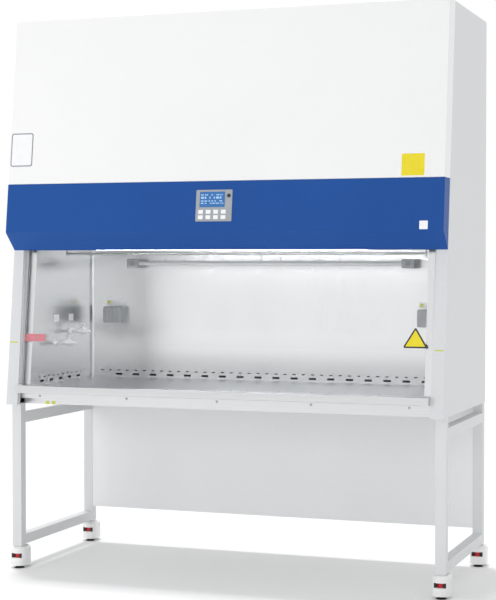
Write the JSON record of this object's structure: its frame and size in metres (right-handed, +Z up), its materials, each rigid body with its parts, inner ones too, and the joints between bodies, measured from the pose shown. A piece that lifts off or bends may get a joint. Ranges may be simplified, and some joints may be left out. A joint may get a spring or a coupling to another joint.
{
  "type": "biosafety cabinet",
  "caption": "Wide safety cabinet on a castered tube stand, with a leaning front, motorised glass sash, slotted stainless chamber, fascia with display and keys, taps and sockets.",
  "frame": {"origin": "on the floor, at the middle of the footprint", "axes": "+X to the right seen from the front, +Y to the back, +Z up"},
  "size_m": [1.843, 0.8304, 2.25],
  "materials": {
    "casing_paint": "satin powder coat",
    "cover_paint": "satin powder coat",
    "fascia_paint": "satin powder coat",
    "stainless": "brushed",
    "stand_paint": "satin powder coat",
    "galvanised": "galvanised sheet",
    "filter_frame": "satin",
    "glass": "clear",
    "lamp_glass": "clear",
    "aluminium": "satin",
    "black_plastic": "matt",
    "dark_grey_plastic": "matt",
    "grey_plastic": "matt",
    "white_plastic": "satin",
    "red_plastic": "satin",
    "belt_rubber": "matt",
    "shaft_steel": "ground"
  },
  "bodies": {
    "cabinet": {"side_panel_left": "casing_paint", "side_panel_right": "casing_paint", "rear_panel": "casing_paint", "top_panel": "casing_paint", "front_cover": "cover_paint", "control_fascia": "fascia_paint", "air_diffuser": "stainless", "supply_filter": "filter_frame", "exhaust_filter": "filter_frame", "plenum_box": "galvanised", "fan_mount": "aluminium", "chamber_liner": "stainless", "work_surface": "stainless", "intake_grille": "stainless", "base_pan": "stainless", "armrest": "stainless", "sash_guides": "aluminium", "sash_belts": "belt_rubber", "uv_lamp_holders": "grey_plastic", "uv_tube": "lamp_glass", "work_light": "white_plastic", "iv_bar": "stainless", "socket_boxes": "dark_grey_plastic", "tap_bodies": "white_plastic", "display_module": "grey_plastic", "stand_frame": "stand_paint", "stand_back_panel": "stand_paint"},
    "sash": {"sash_glass": "glass", "sash_carrier": "aluminium"},
    "sash_drive_shaft": {"sash_drive_shaft": "shaft_steel"},
    "sash_idlers": {"sash_idlers": "black_plastic"},
    "blower_impeller": {"blower_impeller": "aluminium"},
    "socket_cover_left": {"socket_cover_left": "dark_grey_plastic"},
    "socket_cover_right": {"socket_cover_right": "dark_grey_plastic"},
    "tap_knob_front": {"tap_knob_front": "white_plastic"},
    "tap_knob_rear": {"tap_knob_rear": "white_plastic"},
    "key_1": {"key_1": "white_plastic"},
    "key_2": {"key_2": "white_plastic"},
    "key_3": {"key_3": "white_plastic"},
    "key_4": {"key_4": "white_plastic"},
    "key_5": {"key_5": "white_plastic"},
    "key_6": {"key_6": "white_plastic"},
    "key_7": {"key_7": "white_plastic"},
    "key_8": {"key_8": "white_plastic"},
    "caster_housing_front_left": {"caster_housing_front_left": "white_plastic"},
    "caster_wheel_front_left": {"caster_wheel_front_left": "black_plastic"},
    "caster_foot_front_left": {"caster_foot_front_left": "black_plastic"},
    "caster_knob_front_left": {"caster_knob_front_left": "red_plastic"},
    "caster_housing_front_right": {"caster_housing_front_right": "white_plastic"},
    "caster_wheel_front_right": {"caster_wheel_front_right": "black_plastic"},
    "caster_foot_front_right": {"caster_foot_front_right": "black_plastic"},
    "caster_knob_front_right": {"caster_knob_front_right": "red_plastic"},
    "caster_housing_rear_left": {"caster_housing_rear_left": "white_plastic"},
    "caster_wheel_rear_left": {"caster_wheel_rear_left": "black_plastic"},
    "caster_foot_rear_left": {"caster_foot_rear_left": "black_plastic"},
    "caster_knob_rear_left": {"caster_knob_rear_left": "red_plastic"},
    "caster_housing_rear_right": {"caster_housing_rear_right": "white_plastic"},
    "caster_wheel_rear_right": {"caster_wheel_rear_right": "black_plastic"},
    "caster_foot_rear_right": {"caster_foot_rear_right": "black_plastic"},
    "caster_knob_rear_right": {"caster_knob_rear_right": "red_plastic"}
  },
  "joints": [
    {"name": "sash_slide", "type": "slide", "parent": "cabinet", "child": "sash", "axis": [0, 0.1198, 0.9928], "range_m": [-0.1692, 0.3787]},
    {"name": "sash_drive_spin", "type": "hinge", "parent": "cabinet", "child": "sash_drive_shaft", "pos_m": [0, -0.22763, 1.97348], "axis": [1, 0, 0], "range_deg": [-813, 1814]},
    {"name": "sash_idler_spin", "type": "hinge", "parent": "cabinet", "child": "sash_idlers", "pos_m": [0, -0.30505, 1.3318], "axis": [1, 0, 0], "range_deg": [-813, 1814]},
    {"name": "impeller_spin", "type": "hinge", "parent": "cabinet", "child": "blower_impeller", "pos_m": [0, 0.13423, 1.76], "axis": [0, 1, 0], "continuous": true},
    {"name": "socket_cover_left_hinge", "type": "hinge", "parent": "cabinet", "child": "socket_cover_left", "pos_m": [-0.731, 0.25243, 1.061], "axis": [-1, 0, 0], "range_deg": [0, 110]},
    {"name": "socket_cover_right_hinge", "type": "hinge", "parent": "cabinet", "child": "socket_cover_right", "pos_m": [0.693, 0.25243, 1.061], "axis": [-1, 0, 0], "range_deg": [0, 110]},
    {"name": "tap_knob_front_turn", "type": "hinge", "parent": "cabinet", "child": "tap_knob_front", "pos_m": [-0.7917, -0.06377, 0.9403], "axis": [0, 0, 1], "range_deg": [0, 360]},
    {"name": "tap_knob_rear_turn", "type": "hinge", "parent": "cabinet", "child": "tap_knob_rear", "pos_m": [-0.7917, 0.07623, 0.9843], "axis": [0, 0, 1], "range_deg": [0, 360]},
    {"name": "key_1_press", "type": "slide", "parent": "cabinet", "child": "key_1", "axis": [0, 0.9928, -0.1198], "range_m": [0, 0.0008], "stiffness_N_per_m": 600},
    {"name": "key_2_press", "type": "slide", "parent": "cabinet", "child": "key_2", "axis": [0, 0.9928, -0.1198], "range_m": [0, 0.0008], "stiffness_N_per_m": 600},
    {"name": "key_3_press", "type": "slide", "parent": "cabinet", "child": "key_3", "axis": [0, 0.9928, -0.1198], "range_m": [0, 0.0008], "stiffness_N_per_m": 600},
    {"name": "key_4_press", "type": "slide", "parent": "cabinet", "child": "key_4", "axis": [0, 0.9928, -0.1198], "range_m": [0, 0.0008], "stiffness_N_per_m": 600},
    {"name": "key_5_press", "type": "slide", "parent": "cabinet", "child": "key_5", "axis": [0, 0.9928, -0.1198], "range_m": [0, 0.0008], "stiffness_N_per_m": 600},
    {"name": "key_6_press", "type": "slide", "parent": "cabinet", "child": "key_6", "axis": [0, 0.9928, -0.1198], "range_m": [0, 0.0008], "stiffness_N_per_m": 600},
    {"name": "key_7_press", "type": "slide", "parent": "cabinet", "child": "key_7", "axis": [0, 0.9928, -0.1198], "range_m": [0, 0.0008], "stiffness_N_per_m": 600},
    {"name": "key_8_press", "type": "slide", "parent": "cabinet", "child": "key_8", "axis": [0, 0.9928, -0.1198], "range_m": [0, 0.0008], "stiffness_N_per_m": 600},
    {"name": "caster_swivel_front_left", "type": "hinge", "parent": "cabinet", "child": "caster_housing_front_left", "pos_m": [-0.888, -0.32277, 0.089], "axis": [0, 0, 1], "continuous": true},
    {"name": "wheel_spin_front_left", "type": "hinge", "parent": "caster_housing_front_left", "child": "caster_wheel_front_left", "pos_m": [-0.888, -0.28277, 0.028], "axis": [1, 0, 0], "continuous": true},
    {"name": "foot_level_front_left", "type": "slide", "parent": "caster_housing_front_left", "child": "caster_foot_front_left", "axis": [0, 0, 1], "range_m": [-0.01, 0.005]},
    {"name": "knob_turn_front_left", "type": "hinge", "parent": "caster_housing_front_left", "child": "caster_knob_front_left", "pos_m": [-0.888, -0.32277, 0.044], "axis": [0, 0, 1], "range_deg": [-1210, 610]},
    {"name": "caster_swivel_front_right", "type": "hinge", "parent": "cabinet", "child": "caster_housing_front_right", "pos_m": [0.888, -0.32277, 0.089], "axis": [0, 0, 1], "continuous": true},
    {"name": "wheel_spin_front_right", "type": "hinge", "parent": "caster_housing_front_right", "child": "caster_wheel_front_right", "pos_m": [0.888, -0.28277, 0.028], "axis": [1, 0, 0], "continuous": true},
    {"name": "foot_level_front_right", "type": "slide", "parent": "caster_housing_front_right", "child": "caster_foot_front_right", "axis": [0, 0, 1], "range_m": [-0.01, 0.005]},
    {"name": "knob_turn_front_right", "type": "hinge", "parent": "caster_housing_front_right", "child": "caster_knob_front_right", "pos_m": [0.888, -0.32277, 0.044], "axis": [0, 0, 1], "range_deg": [-1210, 610]},
    {"name": "caster_swivel_rear_left", "type": "hinge", "parent": "cabinet", "child": "caster_housing_rear_left", "pos_m": [-0.888, 0.35023, 0.089], "axis": [0, 0, 1], "continuous": true},
    {"name": "wheel_spin_rear_left", "type": "hinge", "parent": "caster_housing_rear_left", "child": "caster_wheel_rear_left", "pos_m": [-0.888, 0.39023, 0.028], "axis": [1, 0, 0], "continuous": true},
    {"name": "foot_level_rear_left", "type": "slide", "parent": "caster_housing_rear_left", "child": "caster_foot_rear_left", "axis": [0, 0, 1], "range_m": [-0.01, 0.005]},
    {"name": "knob_turn_rear_left", "type": "hinge", "parent": "caster_housing_rear_left", "child": "caster_knob_rear_left", "pos_m": [-0.888, 0.35023, 0.044], "axis": [0, 0, 1], "range_deg": [-1210, 610]},
    {"name": "caster_swivel_rear_right", "type": "hinge", "parent": "cabinet", "child": "caster_housing_rear_right", "pos_m": [0.888, 0.35023, 0.089], "axis": [0, 0, 1], "continuous": true},
    {"name": "wheel_spin_rear_right", "type": "hinge", "parent": "caster_housing_rear_right", "child": "caster_wheel_rear_right", "pos_m": [0.888, 0.39023, 0.028], "axis": [1, 0, 0], "continuous": true},
    {"name": "foot_level_rear_right", "type": "slide", "parent": "caster_housing_rear_right", "child": "caster_foot_rear_right", "axis": [0, 0, 1], "range_m": [-0.01, 0.005]},
    {"name": "knob_turn_rear_right", "type": "hinge", "parent": "caster_housing_rear_right", "child": "caster_knob_rear_right", "pos_m": [0.888, 0.35023, 0.044], "axis": [0, 0, 1], "range_deg": [-1210, 610]}
  ],
  "couplings": [
    {"joint": "sash_drive_spin", "follows": "sash_slide", "rad_per_m": 83.333},
    {"joint": "sash_idler_spin", "follows": "sash_slide", "rad_per_m": 83.333},
    {"joint": "knob_turn_front_left", "follows": "foot_level_front_left", "rad_per_m": 2094.4},
    {"joint": "knob_turn_front_right", "follows": "foot_level_front_right", "rad_per_m": 2094.4},
    {"joint": "knob_turn_rear_left", "follows": "foot_level_rear_left", "rad_per_m": 2094.4},
    {"joint": "knob_turn_rear_right", "follows": "foot_level_rear_right", "rad_per_m": 2094.4}
  ]
}
